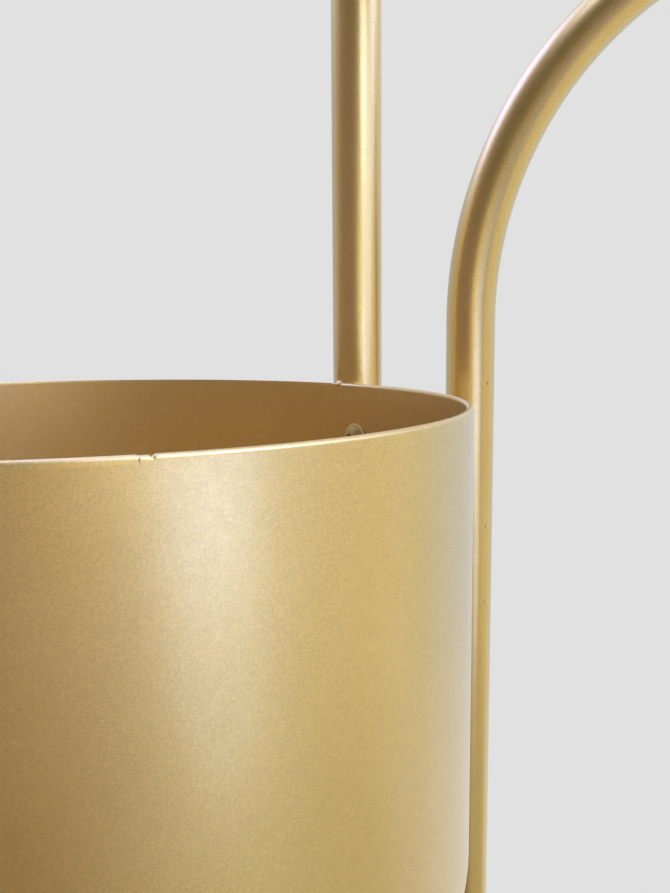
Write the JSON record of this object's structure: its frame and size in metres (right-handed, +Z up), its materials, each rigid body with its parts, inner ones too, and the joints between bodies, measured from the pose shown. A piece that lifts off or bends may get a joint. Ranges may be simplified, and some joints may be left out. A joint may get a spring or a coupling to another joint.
{
  "type": "plant stand",
  "caption": "Gold metal plant stand: a round pot screwed between the legs of a tall tube arch, with a lower and wider arch beside it, on a flat base plate with rounded corners.",
  "frame": {"origin": "on the floor, under the middle of the base plate", "axes": "+Z up, the front (the side that the pot stands on, before the arches) is -Y, the low arch is towards +X"},
  "size_m": [0.52, 0.23, 0.7999],
  "materials": {
    "gold_paint": "satin metallic gold paint with a fine orange-peel surface",
    "zinc_steel": "bright zinc-plated",
    "rubber": "matt"
  },
  "bodies": {
    "root": {"base_plate": "gold_paint", "base_pads": "rubber", "base_screws": "zinc_steel", "foot_plug_tall_left": "zinc_steel", "foot_plug_tall_right": "zinc_steel", "foot_plug_low_left": "zinc_steel", "foot_plug_low_right": "zinc_steel", "leg_tall_left": "gold_paint", "leg_tall_right": "gold_paint", "leg_low_left": "gold_paint", "leg_low_right": "gold_paint", "sleeve_tall_left": "zinc_steel", "sleeve_tall_right": "zinc_steel", "sleeve_low_left": "zinc_steel", "sleeve_low_right": "zinc_steel", "joint_screws": "zinc_steel", "tall_arch": "gold_paint", "low_arch": "gold_paint", "pot_lugs": "gold_paint", "pot_wall": "gold_paint", "pot_dish": "gold_paint", "pot_screws": "gold_paint", "pot_washers": "rubber"}
  },
  "joints": []
}
